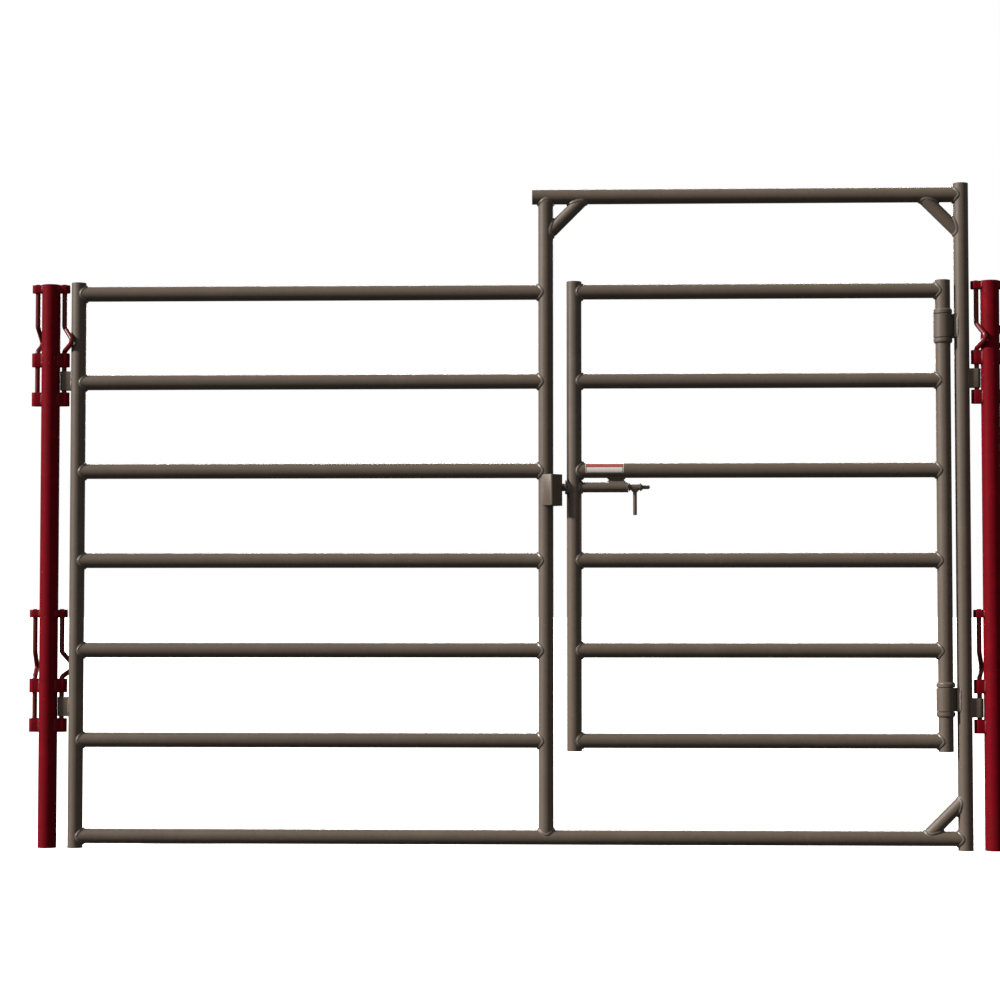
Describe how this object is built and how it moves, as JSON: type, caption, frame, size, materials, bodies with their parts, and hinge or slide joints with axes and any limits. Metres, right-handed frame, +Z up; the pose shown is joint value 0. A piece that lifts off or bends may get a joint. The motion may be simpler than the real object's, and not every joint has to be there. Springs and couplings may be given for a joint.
{
  "type": "livestock panel gate",
  "caption": "Free-standing tube livestock panel with a swing gate in a tall door frame, a sprung slam latch, and pin posts with drop pins at both ends.",
  "frame": {"origin": "on the ground, midway between the two pin posts, in the plane of the panel", "axes": "+X along the panel from the rail panel towards the gate's hinges, +Y away from the front, +Z up"},
  "size_m": [3.172, 0.1062, 2.146],
  "materials": {
    "panel_paint": "satin taupe enamel over welded steel tube",
    "gate_paint": "satin taupe enamel over welded steel tube",
    "latch_paint": "satin taupe enamel",
    "post_paint": "satin red enamel",
    "pin_paint": "satin red enamel",
    "bolt_steel": "bare cold drawn bar",
    "spring_steel": "zinc plated"
  },
  "bodies": {
    "panel_frame": {"left_upright": "panel_paint", "middle_upright": "panel_paint", "right_upright": "panel_paint", "bottom_rail": "panel_paint", "panel_rail_1": "panel_paint", "panel_rail_2": "panel_paint", "panel_rail_3": "panel_paint", "panel_rail_4": "panel_paint", "panel_rail_5": "panel_paint", "panel_rail_6": "panel_paint", "header_rail": "panel_paint", "brace_header_left": "panel_paint", "brace_header_right": "panel_paint", "brace_bottom_right": "panel_paint", "strike_front": "panel_paint", "strike_back": "panel_paint", "ear_left_upper": "panel_paint", "ear_left_lower": "panel_paint", "ear_right_upper": "panel_paint", "ear_right_lower": "panel_paint", "hinge_sleeve_upper": "panel_paint", "hinge_sleeve_lower": "panel_paint", "hinge_bracket_upper": "panel_paint", "hinge_bracket_lower": "panel_paint"},
    "swing_gate": {"gate_latch_upright": "gate_paint", "gate_hinge_upright": "gate_paint", "gate_rail_1": "gate_paint", "gate_rail_2": "gate_paint", "gate_rail_3": "gate_paint", "gate_rail_4": "gate_paint", "gate_rail_5": "gate_paint", "gate_rail_6": "gate_paint", "hinge_collar_upper_top": "gate_paint", "hinge_collar_upper_bottom": "gate_paint", "hinge_collar_lower_top": "gate_paint", "hinge_collar_lower_bottom": "gate_paint", "latch_tube": "latch_paint", "latch_spacer": "latch_paint", "latch_end_washer": "latch_paint", "latch_spring": "spring_steel"},
    "bolt_follower": {"spring_follower": "spring_steel"},
    "bolt": {"latch_bolt": "bolt_steel", "latch_hub": "latch_paint", "latch_handle": "latch_paint"},
    "left_post": {"pin_post_left": "post_paint"},
    "right_post": {"pin_post_right": "post_paint"},
    "drop_pin_left_inner_upper_body": {"drop_pin_left_inner_upper": "pin_paint"},
    "drop_pin_left_inner_lower_body": {"drop_pin_left_inner_lower": "pin_paint"},
    "drop_pin_left_outer_upper_body": {"drop_pin_left_outer_upper": "pin_paint"},
    "drop_pin_left_outer_lower_body": {"drop_pin_left_outer_lower": "pin_paint"},
    "drop_pin_right_inner_upper_body": {"drop_pin_right_inner_upper": "pin_paint"},
    "drop_pin_right_inner_lower_body": {"drop_pin_right_inner_lower": "pin_paint"},
    "drop_pin_right_outer_upper_body": {"drop_pin_right_outer_upper": "pin_paint"},
    "drop_pin_right_outer_lower_body": {"drop_pin_right_outer_lower": "pin_paint"}
  },
  "joints": [
    {"name": "gate_swing", "type": "hinge", "parent": "panel_frame", "child": "swing_gate", "pos_m": [1.3728, 0, 1.08], "axis": [0, 0, 1], "range_deg": [-120, 120]},
    {"name": "bolt_slide", "type": "slide", "parent": "swing_gate", "child": "bolt_follower", "axis": [1, 0, 0], "range_m": [0, 0.036], "stiffness_N_per_m": 500, "springref_m": -0.05, "deforming": ["latch_spring"]},
    {"name": "handle_turn", "type": "hinge", "parent": "bolt_follower", "child": "bolt", "pos_m": [0.38, 0, 1.164], "axis": [1, 0, 0], "range_deg": [-100, 100]},
    {"name": "left_post_swivel", "type": "hinge", "parent": "panel_frame", "child": "left_post", "pos_m": [-1.4802, 0, 0.9], "axis": [0, 0, 1], "range_deg": [-40, 40]},
    {"name": "right_post_swivel", "type": "hinge", "parent": "panel_frame", "child": "right_post", "pos_m": [1.4802, 0, 0.9], "axis": [0, 0, 1], "range_deg": [-40, 40]},
    {"name": "left_inner_upper_pin_lift", "type": "slide", "parent": "panel_frame", "child": "drop_pin_left_inner_upper_body", "axis": [0, 0, 1], "range_m": [0, 0.108]},
    {"name": "left_inner_lower_pin_lift", "type": "slide", "parent": "panel_frame", "child": "drop_pin_left_inner_lower_body", "axis": [0, 0, 1], "range_m": [0, 0.108]},
    {"name": "left_outer_upper_pin_lift", "type": "slide", "parent": "left_post", "child": "drop_pin_left_outer_upper_body", "axis": [0, 0, 1], "range_m": [0, 0.108]},
    {"name": "left_outer_lower_pin_lift", "type": "slide", "parent": "left_post", "child": "drop_pin_left_outer_lower_body", "axis": [0, 0, 1], "range_m": [0, 0.108]},
    {"name": "right_inner_upper_pin_lift", "type": "slide", "parent": "right_post", "child": "drop_pin_right_inner_upper_body", "axis": [0, 0, 1], "range_m": [0, 0.108]},
    {"name": "right_inner_lower_pin_lift", "type": "slide", "parent": "right_post", "child": "drop_pin_right_inner_lower_body", "axis": [0, 0, 1], "range_m": [0, 0.108]},
    {"name": "right_outer_upper_pin_lift", "type": "slide", "parent": "right_post", "child": "drop_pin_right_outer_upper_body", "axis": [0, 0, 1], "range_m": [0, 0.108]},
    {"name": "right_outer_lower_pin_lift", "type": "slide", "parent": "right_post", "child": "drop_pin_right_outer_lower_body", "axis": [0, 0, 1], "range_m": [0, 0.108]}
  ]
}
